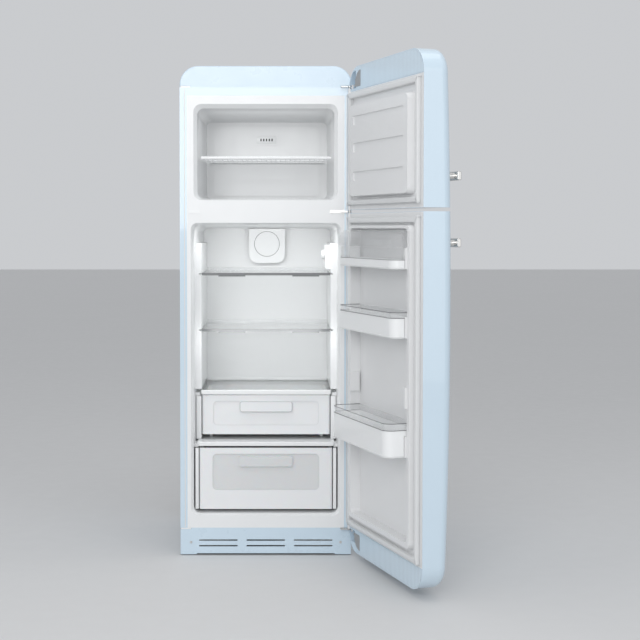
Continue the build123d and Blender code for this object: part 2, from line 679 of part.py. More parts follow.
with BuildPart() as compressor:
    with BuildSketch(Plane.XY.offset(38)):
        with Locations((COMPRESSOR_X, COMPRESSOR_Y)):
            Ellipse(92, 68)
    extrude(amount=132)
    fillet(compressor.edges().group_by(Axis.Z)[-1], 42)
    fillet(compressor.edges().group_by(Axis.Z)[0], 24)
    with BuildSketch(Plane.XY.offset(104)):
        with Locations((COMPRESSOR_X, COMPRESSOR_Y)):
            Ellipse(95, 71)
    extrude(amount=6)
    block((COMPRESSOR_X - 105, COMPRESSOR_X + 105), (COMPRESSOR_Y - 64, COMPRESSOR_Y + 64), (34, 38))
    block((COMPRESSOR_X - 60, COMPRESSOR_X + 60), (COMPRESSOR_Y - 40, COMPRESSOR_Y + 40), (37, 60))
    for side in (-1, 1):
        for edge in (-1, 1):
            spot = (COMPRESSOR_X + side * GROMMET_SPREAD_X, COMPRESSOR_Y + edge * GROMMET_SPREAD_Y, 30)
            rod(spot, (0, 0, 1), 3.2, 12, Mode.SUBTRACT)
    for y in (150, 172, 194):
        rod((COMPRESSOR_X - 80, y, 128), (-1, 0, 0), 4, 45)
keep(compressor, "compressor")

with BuildPart() as relay_cover:
    block((COMPRESSOR_X + 84, COMPRESSOR_X + 124), (142, 202), (60, 128))
    fillet(relay_cover.edges().filter_by(Axis.Z), 6)
    rod((COMPRESSOR_X + 104, 202, 84), (0, 1, 0), 8, 14)
    rod((COMPRESSOR_X + 104, 190, 84), (0, 1, 0), 4, 30, Mode.SUBTRACT)
    with BuildSketch(Plane.XY.offset(40)):
        with Locations((COMPRESSOR_X, COMPRESSOR_Y)):
            Ellipse(95.5, 71.5)
    extrude(amount=120, mode=Mode.SUBTRACT)
keep(relay_cover, "relay_cover")

with BuildPart() as drip_tray:
    with BuildSketch(Plane.XY.offset(176)):
        with Locations((COMPRESSOR_X, 168)):
            RectangleRounded(200, 120, 18)
    extrude(amount=34)
    with BuildSketch(Plane.XY.offset(178.5)):
        with Locations((COMPRESSOR_X, 168)):
            RectangleRounded(195, 115, 15.5)
    extrude(amount=34, mode=Mode.SUBTRACT)
    block((COMPRESSOR_X - 20, COMPRESSOR_X + 20), (COMPRESSOR_Y - 12, COMPRESSOR_Y + 12), (170, 177))
keep(drip_tray, "drip_tray")

with BuildPart() as filter_drier:
    with BuildSketch(Plane.XZ.offset(-210)):
        with BuildLine():
            Polyline(
                (190, 60),
                (193, 60),
                (193, 80),
                (200, 92),
                (200, 150),
                (193, 162),
                (193, 182),
                (190, 182),
                close=True,
            )
        make_face()
    revolve(axis=Axis((190, 210, 0), (0, 0, 1)))
keep(filter_drier, "filter_drier")

# ---- condenser: one serpentine tube between two rows of welded wires ----
CONDENSER_Y = PANEL_BACK + 18
CONDENSER_HALF = 235
CONDENSER_LOW = 330
CONDENSER_PITCH = 60
CONDENSER_RUNS = 21
TUBE_RADIUS = 2.5
WIRE_RADIUS = 0.8
WIRES = 20

with BuildPart() as condenser:
    turn = CONDENSER_PITCH / 2
    straight = CONDENSER_HALF - turn
    with BuildLine() as route:
        for index in range(CONDENSER_RUNS):
            z = CONDENSER_LOW + index * CONDENSER_PITCH
            way = 1 if index % 2 == 0 else -1
            Line((-way * straight, CONDENSER_Y, z), (way * straight, CONDENSER_Y, z))
            if index < CONDENSER_RUNS - 1:
                ThreePointArc(
                    (way * straight, CONDENSER_Y, z),
                    (way * CONDENSER_HALF, CONDENSER_Y, z + turn),
                    (way * straight, CONDENSER_Y, z + CONDENSER_PITCH),
                )
    with BuildSketch(Plane(origin=(-straight, CONDENSER_Y, CONDENSER_LOW), z_dir=(1, 0, 0))):
        Circle(TUBE_RADIUS)
    sweep(path=route.line)
    height = (CONDENSER_RUNS - 1) * CONDENSER_PITCH + 30
    for index in range(WIRES):
        x = -straight + 6 + index * (2 * straight - 12) / (WIRES - 1)
        for side in (-1, 1):
            y = CONDENSER_Y + side * (TUBE_RADIUS + WIRE_RADIUS - 0.3)
            rod((x, y, CONDENSER_LOW - 15), (0, 0, 1), WIRE_RADIUS, height)
    for x in (-straight + 20, straight - 20):
        for index in (2, CONDENSER_RUNS - 3):
            z = CONDENSER_LOW + index * CONDENSER_PITCH
            block((x - 5, x + 5), (PANEL_BACK + SHELL_SHEET, CONDENSER_Y), (z - 4, z + 4))
keep(condenser, "condenser")


# ---- doors ----
def crown(inset):
    """A curved slab whose front face is the crown shared by both shut doors."""
    reach = HALF + 20
    radius = CROWN_RADIUS - inset
    face = inset - DOOR_BARREL_RADIUS
    side = face + radius - sqrt(radius**2 - reach**2)
    centre = (0, DOOR_FACE + DOOR_BARREL_RADIUS, DOOR_BARREL_CENTRE)
    with BuildPart() as slab:
        with BuildSketch(Plane(origin=centre).rotated((-CROWN_SWEEP, 0, 0))):
            with BuildLine():
                ThreePointArc((-reach, side), (0, face), (reach, side))
                Polyline((reach, side), (reach, face + 200), (-reach, face + 200), (-reach, side))
            make_face()
        revolve(axis=Axis(centre, (1, 0, 0)), revolution_arc=2 * CROWN_SWEEP)
    return slab.part


def door_blank(low, high, round_top, inset):
    """The outer form of a shut door, shrunk by inset everywhere but at its flat back."""
    with BuildPart() as blank:
        with BuildSketch(face_plane(DOOR_BACK)) as outline:
            with Locations((0, (low + high) / 2)):
                Rectangle(CABINET_WIDTH - 2 * inset, high - low - 2 * inset)
            rounded = outline.vertices().group_by(Axis.Y)[-1 if round_top else 0]
            fillet(rounded, DOOR_CORNER - inset)
        extrude(amount=DOOR_EDGE_DEPTH + DOOR_CROWN + 20)
        add(crown(inset), mode=Mode.INTERSECT)
        front_edges = blank.faces().sort_by(Axis.Y)[0].edges().sort_by(Axis.Z)
        fillet(front_edges[1:] if round_top else front_edges[:-1], DOOR_ROUNDING - inset)
    return blank.part


def hinge_room(z, extra):
    """Cuts room for a hinge boss."""
    length = z[1] - z[0] + 2 * extra
    rod((PIVOT_X, PIVOT_Y, z[0] - extra), (0, 0, 1), BOSS_RADIUS + 0.1, length, Mode.SUBTRACT)


def hinge_boss(z):
    """Adds a boss with a bore for a hinge pin."""
    rod((PIVOT_X, PIVOT_Y, z[0]), (0, 0, 1), BOSS_RADIUS, z[1] - z[0])
    rod(
        (PIVOT_X, PIVOT_Y, z[0] - 1),
        (0, 0, 1),
        PIN_RADIUS + RUNNING_CLEARANCE,
        z[1] - z[0] + 2,
        Mode.SUBTRACT,
    )


def door_skin(door, back_edge, pocket_z, notch_z, bosses):
    """The painted outer pan with its closed end behind the gasket and the hinge pocket."""
    low, high, round_top = door
    end_z = (back_edge, high) if round_top else (low, back_edge)
    with BuildPart() as pocket:
        block((238, HALF), (DOOR_BACK - 46, DOOR_BACK + 1), pocket_z)
        add(door_blank(*door, 3 * DOOR_SKIN), mode=Mode.INTERSECT)
    with BuildPart() as pocket_wall:
        grown = (pocket_z[0] - DOOR_SKIN, pocket_z[1] + DOOR_SKIN)
        block((238 - DOOR_SKIN, HALF), (DOOR_BACK - 46 - DOOR_SKIN, DOOR_BACK), grown)
        add(door_blank(*door, DOOR_SKIN), mode=Mode.INTERSECT)
    with BuildPart() as hollow:
        add(door_blank(*door, DOOR_SKIN))
        block((-HALF, HALF), (DOOR_BACK - DOOR_SKIN, DOOR_BACK), end_z, Mode.SUBTRACT)
        add(pocket_wall.part, mode=Mode.SUBTRACT)
    with BuildPart() as skin:
        add(door_blank(*door, 0))
        add(hollow.part, mode=Mode.SUBTRACT)
        add(pocket.part, mode=Mode.SUBTRACT)
        block((284, HALF + 1), (DOOR_BACK - 16, DOOR_BACK + 1), notch_z, Mode.SUBTRACT)
        for boss in bosses:
            hinge_room(boss, 2)
    return skin, pocket_wall.part


def gasket(z):
    """The magnetic seal: a frame with rounded edges."""
    with BuildPart() as seal:
        with BuildSketch(face_plane(DOOR_BACK)):
            with Locations((0, middle(z))):
                RectangleRounded(2 * GASKET_OUTER, z[1] - z[0], 8)
                RectangleRounded(
                    2 * (GASKET_OUTER - GASKET_WIDTH),
                    z[1] - z[0] - 2 * GASKET_WIDTH,
                    4,
                    mode=Mode.SUBTRACT,
                )
        extrude(amount=GASKET_CLEARANCE - DOOR_GAP)
        fillet(seal.faces().sort_by(Axis.Y)[-1].edges(), 2.5)
    return seal


HANDLE_HALF_HEIGHT = 14
HANDLE_BAR = (-262, -32)
HANDLE_POSTS = (-236, -58)
HANDLE_REACH = 42


def door_handle(z, door):
    """A flat horizontal bar on two posts that follow the door's crown."""
    with BuildPart() as handle:
        outer = DOOR_FACE + 6 - HANDLE_REACH
        block(HANDLE_BAR, (outer, outer + 14), (z - HANDLE_HALF_HEIGHT, z + HANDLE_HALF_HEIGHT))
        fillet(handle.edges().filter_by(Axis.X), 5)
        fillet(handle.edges().group_by(Axis.X)[0] + handle.edges().group_by(Axis.X)[-1], 3)
        for x in HANDLE_POSTS:
            rod((x, outer + 12, z), (0, 1, 0), 10, HANDLE_REACH)
        add(door_blank(*door, 0), mode=Mode.SUBTRACT)
    return handle


FREEZER_HANDLE_Z = 1313
FRIDGE_HANDLE_Z = 1105
FREEZER_DOOR = (FREEZER_DOOR_BOTTOM, FREEZER_DOOR_TOP, True)
FRIDGE_DOOR = (FRIDGE_DOOR_BOTTOM, FRIDGE_DOOR_TOP, False)

# ---- freezer door ----
FREEZER_BACK_EDGE = 1622
FREEZER_GASKET = (1225, 1618)
LOWER_BOSS = (FREEZER_DOOR_BOTTOM, FREEZER_DOOR_BOTTOM + GAP_BOSS_LENGTH)
freezer_bosses = (LOWER_BOSS, TOP_BOSS)
freezer_skin, freezer_pocket = door_skin(
    FREEZER_DOOR,
    FREEZER_BACK_EDGE,
    (POCKET_FLOOR, 1690),
    (POCKET_FLOOR + 4, CAP_BOTTOM + 8),
    freezer_bosses,
)

PLUG_BASE = (DOOR_BACK, 240, 1255, 1573, 20)
PLUG_TIP = (DOOR_BACK + 24, 234, 1260, 1567, 18)
GROOVES_Z = (1310, 1407, 1499)
GROOVE_HEIGHT = 32

with BuildPart() as plug_core:
    y, half_width, plug_low, plug_high, radius = PLUG_BASE
    plug_z = (plug_low + PLASTIC, plug_high - PLASTIC)
    base = rounded_panel(LINER_BACK, half_width - PLASTIC, *plug_z, radius - PLASTIC)
    y, half_width, plug_low, plug_high, radius = PLUG_TIP
    plug_z = (plug_low + PLASTIC, plug_high - PLASTIC)
    tip = rounded_panel(y - 7, half_width - PLASTIC, *plug_z, radius - PLASTIC)
    loft(sections=[base, tip], ruled=True)

door_half = HALF - DOOR_SKIN
with BuildPart() as freezer_door_liner:
    block(
        (-door_half, door_half),
        (LINER_BACK, DOOR_BACK),
        (FREEZER_DOOR_BOTTOM + DOOR_SKIN, FREEZER_BACK_EDGE),
    )
    loft(sections=[rounded_panel(*PLUG_BASE), rounded_panel(*PLUG_TIP)], ruled=True)
    add(plug_core.part, mode=Mode.SUBTRACT)
    for z in GROOVES_Z:
        with BuildSketch(face_plane(PLUG_TIP[0] - 4)):
            with Locations((0, z + GROOVE_HEIGHT / 2)):
                RectangleRounded(410, GROOVE_HEIGHT, 8)
        extrude(amount=-10, mode=Mode.SUBTRACT)
    for boss in freezer_bosses:
        hinge_room(boss, 0)
    for boss in freezer_bosses:
        hinge_boss(boss)
with BuildPart() as freezer_door_foam:
    add(door_blank(*FREEZER_DOOR, DOOR_SKIN))
    block((-HALF, HALF), (LINER_BACK, DOOR_BACK + 1), (1200, 1720), Mode.SUBTRACT)
    add(plug_core.part)
    add(freezer_pocket, mode=Mode.SUBTRACT)
    for boss in freezer_bosses:
        hinge_room(boss, 2)

keep(freezer_skin, "freezer_door_skin", DOOR_OPENING, crowned=True)
keep(freezer_door_liner, "freezer_door_liner", DOOR_OPENING)
keep(freezer_door_foam, "freezer_door_foam", DOOR_OPENING, crowned=True)
keep(gasket(FREEZER_GASKET), "freezer_door_gasket", DOOR_OPENING)
keep(door_handle(FREEZER_HANDLE_Z, FREEZER_DOOR), "freezer_door_handle", DOOR_OPENING)

# ---- fridge door ----
FRIDGE_BACK_EDGE = 108
FRIDGE_GASKET = (112, 1191)
UPPER_BOSS = (FRIDGE_DOOR_TOP - GAP_BOSS_LENGTH, FRIDGE_DOOR_TOP)
BOTTOM_BOSS = (BOTTOM_POCKET_ROOF - 2, BOTTOM_POCKET_ROOF + GAP_BOSS_LENGTH)
fridge_bosses = (UPPER_BOSS, BOTTOM_BOSS)
fridge_skin, fridge_pocket = door_skin(
    FRIDGE_DOOR,
    FRIDGE_BACK_EDGE,
    (60, BOTTOM_POCKET_ROOF),
    (PLINTH_TOP - 12, BOTTOM_POCKET_ROOF - 1),
    fridge_bosses,
)

DYKE_BASE = (DOOR_BACK, 252, 152, 1162, 22)
DYKE_TIP = (DOOR_BACK + 22, 248, 156, 1159, 20)
TRAY_HALF = 230
TRAY_LOW = 172
TRAY_HIGH = 1150
TRAY_DEPTH = DOOR_BACK - 14
LUG_HEIGHT = 65
SPARE_LUG = 592
BIN_LOWS = {"dairy": 1024, "middle": 810, "bottle": 440}

with BuildPart() as dyke_core:
    y, half_width, dyke_low, dyke_high, radius = DYKE_BASE
    dyke_z = (dyke_low + PLASTIC, dyke_high - PLASTIC)
    base = rounded_panel(LINER_BACK, half_width - PLASTIC, *dyke_z, radius - PLASTIC)
    y, half_width, dyke_low, dyke_high, radius = DYKE_TIP
    dyke_z = (dyke_low + PLASTIC, dyke_high - PLASTIC)
    tip = rounded_panel(y - PLASTIC, half_width - PLASTIC, *dyke_z, radius - PLASTIC)
    loft(sections=[base, tip], ruled=True)

with BuildPart() as tray_outside:
    grown = TRAY_HALF + PLASTIC
    extrude(
        rounded_panel(TRAY_DEPTH - PLASTIC, grown, TRAY_LOW - PLASTIC, TRAY_HIGH + PLASTIC, 16),
        amount=-(DYKE_TIP[0] - TRAY_DEPTH + PLASTIC),
    )

with BuildPart() as fridge_door_liner:
    block(
        (-door_half, door_half),
        (LINER_BACK, DOOR_BACK),
        (FRIDGE_BACK_EDGE, FRIDGE_DOOR_TOP - DOOR_SKIN),
    )
    loft(sections=[rounded_panel(*DYKE_BASE), rounded_panel(*DYKE_TIP)], ruled=True)
    add(dyke_core.part, mode=Mode.SUBTRACT)
    add(tray_outside.part)
    extrude(
        rounded_panel(TRAY_DEPTH, TRAY_HALF, TRAY_LOW, TRAY_HIGH, 13.5),
        amount=-(DYKE_TIP[0] - TRAY_DEPTH + 5),
        mode=Mode.SUBTRACT,
    )
    for low in (*BIN_LOWS.values(), SPARE_LUG):
        for side in (-1, 1):
            lug_x = sorted((side * 220, side * (TRAY_HALF + 1)))
            block(lug_x, (TRAY_DEPTH + 6, DYKE_TIP[0] + 6), (low, low + LUG_HEIGHT))
    for boss in fridge_bosses:
        hinge_room(boss, 0)
    for boss in fridge_bosses:
        hinge_boss(boss)

with BuildPart() as fridge_door_foam:
    add(door_blank(*FRIDGE_DOOR, DOOR_SKIN))
    block((-HALF, HALF), (LINER_BACK, DOOR_BACK + 1), (0, 1300), Mode.SUBTRACT)
    add(dyke_core.part)
    add(tray_outside.part, mode=Mode.SUBTRACT)
    add(fridge_pocket, mode=Mode.SUBTRACT)
    for boss in fridge_bosses:
        hinge_room(boss, 2)

keep(fridge_skin, "fridge_door_skin", DOOR_OPENING, crowned=True)
keep(fridge_door_liner, "fridge_door_liner", DOOR_OPENING)
keep(fridge_door_foam, "fridge_door_foam", DOOR_OPENING, crowned=True)
keep(gasket(FRIDGE_GASKET), "fridge_door_gasket", DOOR_OPENING)
keep(door_handle(FRIDGE_HANDLE_Z, FRIDGE_DOOR), "fridge_door_handle", DOOR_OPENING)

# ---- door bins: white trays with clear bands, hung over the lugs ----
BIN_HALF = 226
BIN_REAR = TRAY_DEPTH + 2
BIN_CORNER = 30
SHALLOW_FRONT = DOOR_BACK + 70
DEEP_FRONT = DOOR_BACK + 92
BIN_WALL = 2.5


def bin_outline(z, front, inset):
    """The plan of a bin, with its two round front corners."""
    with BuildSketch(Plane.XY.offset(z)) as outline:
        with Locations((0, (BIN_REAR + front) / 2)):
            Rectangle(2 * (BIN_HALF - inset), front - BIN_REAR - 2 * inset)
        fillet(outline.vertices().group_by(Axis.Y)[-1], BIN_CORNER - inset)
    return outline.sketch


def lug_rooms(low, mode_extra):
    """Cuts the slots at both ends of a bin that slide down over the door's lugs."""
    for side in (-1, 1):
        room_x = sorted((side * 219, side * (BIN_HALF + 1)))
        room_z = (low - 1, low + LUG_HEIGHT + mode_extra)
        block(room_x, (BIN_REAR - 1, DYKE_TIP[0] + 7), room_z, Mode.SUBTRACT)


def bin_tray(low, high, front):
    with BuildPart() as tray:
        extrude(bin_outline(low, front, 0), amount=high - low)
        extrude(bin_outline(low + BIN_WALL, front, BIN_WALL), amount=high, mode=Mode.SUBTRACT)
        for side in (-1, 1):
            corner_x = sorted((side * (219 - BIN_WALL), side * BIN_HALF))
            corner_top = min(high, low + LUG_HEIGHT + 3)
            block(corner_x, (BIN_REAR, DYKE_TIP[0] + 7 + BIN_WALL), (low, corner_top))
        lug_rooms(low, 0.5)
    return tray


def bin_rim(low, high, front, lug_low):
    with BuildPart() as rim:
        extrude(bin_outline(low, front, 0), amount=high - low)
        extrude(bin_outline(low - 1, front, BIN_WALL), amount=high - low + 2, mode=Mode.SUBTRACT)
        lug_rooms(lug_low, 0.5)
    return rim


middle_low = BIN_LOWS["middle"]
keep(bin_tray(middle_low, middle_low + 62, SHALLOW_FRONT), "middle_bin", DOOR_OPENING)
keep(bin_rim(middle_low + 62, middle_low + 80, SHALLOW_FRONT, middle_low), "middle_bin_rim", DOOR_OPENING)
bottle_low = BIN_LOWS["bottle"]
keep(bin_tray(bottle_low, bottle_low + 84, DEEP_FRONT), "bottle_bin", DOOR_OPENING)
keep(bin_rim(bottle_low + 84, bottle_low + 106, DEEP_FRONT, bottle_low), "bottle_bin_rim", DOOR_OPENING)

# ---- dairy box: white tray, clear band and ends, and a clear flap that turns up ----
dairy_low = BIN_LOWS["dairy"]
DAIRY_BAND = dairy_low + 28
DAIRY_SPLIT = 1090
DAIRY_TOP = 1145
FLAP_Y = DOOR_BACK + 30
FLAP_Z = DAIRY_TOP - 3
FLAP_BARREL = 3
keep(bin_tray(dairy_low, DAIRY_BAND, SHALLOW_FRONT), "dairy_bin", DOOR_OPENING)


def flap_profile(inset, low):
    """The side view of the dairy box above its split line."""
    front = SHALLOW_FRONT - inset
    top = DAIRY_TOP - inset
    with BuildSketch(Plane.YZ) as profile:
        with BuildLine():
            Polyline((FLAP_Y, top), (FLAP_Y, low), (front, low), (front, top - 30))
            RadiusArc((front, top - 30), (front - 30, top), -30)
            Line((front - 30, top), (FLAP_Y, top))
        make_face()
    return profile.sketch


with BuildPart() as dairy_rim:
    extrude(bin_outline(DAIRY_BAND, SHALLOW_FRONT, 0), amount=DAIRY_SPLIT - DAIRY_BAND)
    extrude(bin_outline(DAIRY_BAND - 1, SHALLOW_FRONT, BIN_WALL), amount=60, mode=Mode.SUBTRACT)
    for side in (-1, 1):
        end_x = sorted((side * (BIN_HALF - BIN_WALL), side * BIN_HALF))
        block(end_x, (BIN_REAR, FLAP_Y - 0.5), (DAIRY_SPLIT, DAIRY_TOP))
    block((-BIN_HALF, BIN_HALF), (BIN_REAR, BIN_REAR + BIN_WALL), (DAIRY_SPLIT, DAIRY_TOP))
    block((-BIN_HALF, BIN_HALF), (BIN_REAR, FLAP_Y - 4), (DAIRY_TOP - BIN_WALL, DAIRY_TOP))
    rod((-BIN_HALF - 1, FLAP_Y, FLAP_Z), (1, 0, 0), FLAP_BARREL + 1.5, 2 * BIN_HALF + 2, Mode.SUBTRACT)
    lug_rooms(dairy_low, 0.5)
keep(dairy_rim, "dairy_rim", DOOR_OPENING)

with BuildPart() as dairy_lid:
    lid_half = BIN_HALF - 1
    extrude(flap_profile(0, DAIRY_SPLIT + 1), amount=lid_half, both=True)
    lid_inside = flap_profile(BIN_WALL, DAIRY_SPLIT - 5)
    extrude(lid_inside, amount=lid_half - BIN_WALL, both=True, mode=Mode.SUBTRACT)
    block((-lid_half, lid_half), (FLAP_Y - 1, FLAP_Y + 4), (DAIRY_SPLIT, FLAP_Z - 6), Mode.SUBTRACT)
    block((-30, 30), (SHALLOW_FRONT - 1, SHALLOW_FRONT + 7), (DAIRY_SPLIT + 2, DAIRY_SPLIT + 5))
    rod((-lid_half, FLAP_Y, FLAP_Z), (1, 0, 0), FLAP_BARREL, 2 * lid_half)
keep(dairy_lid, "dairy_lid", DOOR_OPENING)
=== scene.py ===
import math

import bmesh
import bpy
from mathutils import Matrix, Vector


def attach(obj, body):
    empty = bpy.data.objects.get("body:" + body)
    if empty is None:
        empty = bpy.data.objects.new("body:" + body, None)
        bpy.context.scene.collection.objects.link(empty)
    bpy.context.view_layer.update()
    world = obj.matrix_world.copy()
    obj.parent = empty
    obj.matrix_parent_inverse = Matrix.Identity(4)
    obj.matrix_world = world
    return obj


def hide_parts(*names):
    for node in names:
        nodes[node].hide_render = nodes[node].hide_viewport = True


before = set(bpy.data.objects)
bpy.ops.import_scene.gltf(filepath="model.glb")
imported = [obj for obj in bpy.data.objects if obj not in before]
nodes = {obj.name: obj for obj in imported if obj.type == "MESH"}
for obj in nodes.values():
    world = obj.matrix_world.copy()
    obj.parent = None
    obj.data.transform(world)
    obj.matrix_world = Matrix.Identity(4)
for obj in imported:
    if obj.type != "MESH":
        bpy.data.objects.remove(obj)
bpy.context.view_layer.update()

scene = bpy.context.scene

# ---- places shared with the CAD, in metres ----
DOOR_BACK = -0.292
DOOR_CORNER = 0.080
DOOR_STRAIGHT = 0.220
PIVOT = Vector((0.2925, DOOR_BACK, 0))
OPENING = math.radians(109)
SWING = Matrix.Translation(PIVOT) @ Matrix.Rotation(OPENING, 4, "Z") @ Matrix.Translation(-PIVOT)

# ---- materials ----
SUBSURFACE_DEPTH = 0.004
DRIFT_DETAIL = 4.0
FINE_DETAIL = 3.0
WIPES_PER_DRIFT = 9
WIPE_RANGE = (0.3, 0.7)
RELIEF_STRENGTH = 0.6
SCRATCH_STRENGTH = 0.35
SCRATCH_SCALE = 35.0
SCRATCH_DETAIL = 8.0
SCRATCH_DISTORTION = 1.5


def noise(tree, laid, scale, detail):
    """A noise texture on the laid-out object coordinates."""
    texture = tree.nodes.new("ShaderNodeTexNoise")
    texture.inputs["Scale"].default_value = scale
    texture.inputs["Detail"].default_value = detail
    tree.links.new(laid.outputs["Vector"], texture.inputs["Vector"])
    return texture


def bump(tree, height, strength, distance):
    """A bump node driven by a noise texture."""
    made = tree.nodes.new("ShaderNodeBump")
    made.inputs["Strength"].default_value = strength
    made.inputs["Distance"].default_value = distance
    tree.links.new(height.outputs["Fac"], made.inputs["Height"])
    return made


def drifting_colour(tree, laid, colour, tint, mottle, cells):
    """The output of a mix from a darker to a lighter shade, by slow noise or by flakes."""
    mix = tree.nodes.new("ShaderNodeMix")
    mix.data_type = "RGBA"
    shades = {"A": 1 - tint, "B": 1 + tint}
    for socket in mix.inputs:
        if socket.type == "RGBA":
            shade = [min(1.0, part * shades[socket.name]) for part in colour]
            socket.default_value = (*shade, 1)
    if cells:
        flakes = tree.nodes.new("ShaderNodeTexVoronoi")
        flakes.inputs["Scale"].default_value = cells
        tree.links.new(laid.outputs["Vector"], flakes.inputs["Vector"])
        split = tree.nodes.new("ShaderNodeSeparateColor")
        tree.links.new(flakes.outputs["Color"], split.inputs["Color"])
        source = split.outputs["Red"]
    else:
        source = noise(tree, laid, mottle, DRIFT_DETAIL).outputs["Fac"]
    factor = next(s for s in mix.inputs if s.name == "Factor" and s.type == "VALUE")
    tree.links.new(source, factor)
    return next(s for s in mix.outputs if s.type == "RGBA")


def uneven_gloss(tree, laid, rough, rough_spread, mottle):
    """The output of a roughness that varies about its middle in soft wipes."""
    wipes = noise(tree, laid, mottle * WIPES_PER_DRIFT, FINE_DETAIL)
    spread = tree.nodes.new("ShaderNodeMapRange")
    spread.inputs["From Min"].default_value = WIPE_RANGE[0]
    spread.inputs["From Max"].default_value = WIPE_RANGE[1]
    spread.inputs["To Min"].default_value = max(0.0, rough - rough_spread)
    spread.inputs["To Max"].default_value = min(1.0, rough + rough_spread)
    tree.links.new(wipes.outputs["Fac"], spread.inputs["Value"])
    return spread.outputs["Result"]


def surface(
    name, colour, rough, metal=0.0, coat=0.0, coat_rough=0.04, clear=0.0, ior=1.49, tint=0.03,
    mottle=5.0, rough_spread=0.06, grain=700.0, depth=0.00004, stretch=(1, 1, 1), turn=0.0,
    subsurface=0.0, sheen=0.0, scratches=0.0, cells=0.0, alpha=1.0,
):
    """A procedural finish: slow colour drift, uneven gloss and fine relief over a principled base."""
    made = bpy.data.materials.new(name)
    made.use_nodes = True
    tree = made.node_tree
    shader = tree.nodes["Principled BSDF"]
    shader.inputs["Metallic"].default_value = metal
    shader.inputs["IOR"].default_value = ior
    shader.inputs["Coat Weight"].default_value = coat
    shader.inputs["Coat Roughness"].default_value = coat_rough
    shader.inputs["Transmission Weight"].default_value = clear
    shader.inputs["Subsurface Weight"].default_value = subsurface
    shader.inputs["Subsurface Scale"].default_value = SUBSURFACE_DEPTH
    shader.inputs["Sheen Weight"].default_value = sheen
    shader.inputs["Alpha"].default_value = alpha

    place = tree.nodes.new("ShaderNodeTexCoord")
    turned = tree.nodes.new("ShaderNodeMapping")
    turned.inputs["Rotation"].default_value = (0, 0, turn)
    tree.links.new(place.outputs["Object"], turned.inputs["Vector"])
    laid = tree.nodes.new("ShaderNodeMapping")
    laid.inputs["Scale"].default_value = stretch
    tree.links.new(turned.outputs["Vector"], laid.inputs["Vector"])

    shade = drifting_colour(tree, laid, colour, tint, mottle, cells)
    tree.links.new(shade, shader.inputs["Base Color"])
    gloss = uneven_gloss(tree, laid, rough, rough_spread, mottle)
    tree.links.new(gloss, shader.inputs["Roughness"])

    relief = bump(tree, noise(tree, laid, grain, FINE_DETAIL), RELIEF_STRENGTH, depth)
    if scratches:
        lines = noise(tree, laid, SCRATCH_SCALE, SCRATCH_DETAIL)
        lines.inputs["Distortion"].default_value = SCRATCH_DISTORTION
        fine = bump(tree, lines, SCRATCH_STRENGTH, scratches)
        tree.links.new(relief.outputs["Normal"], fine.inputs["Normal"])
        relief = fine
    tree.links.new(relief.outputs["Normal"], shader.inputs["Normal"])
    return made


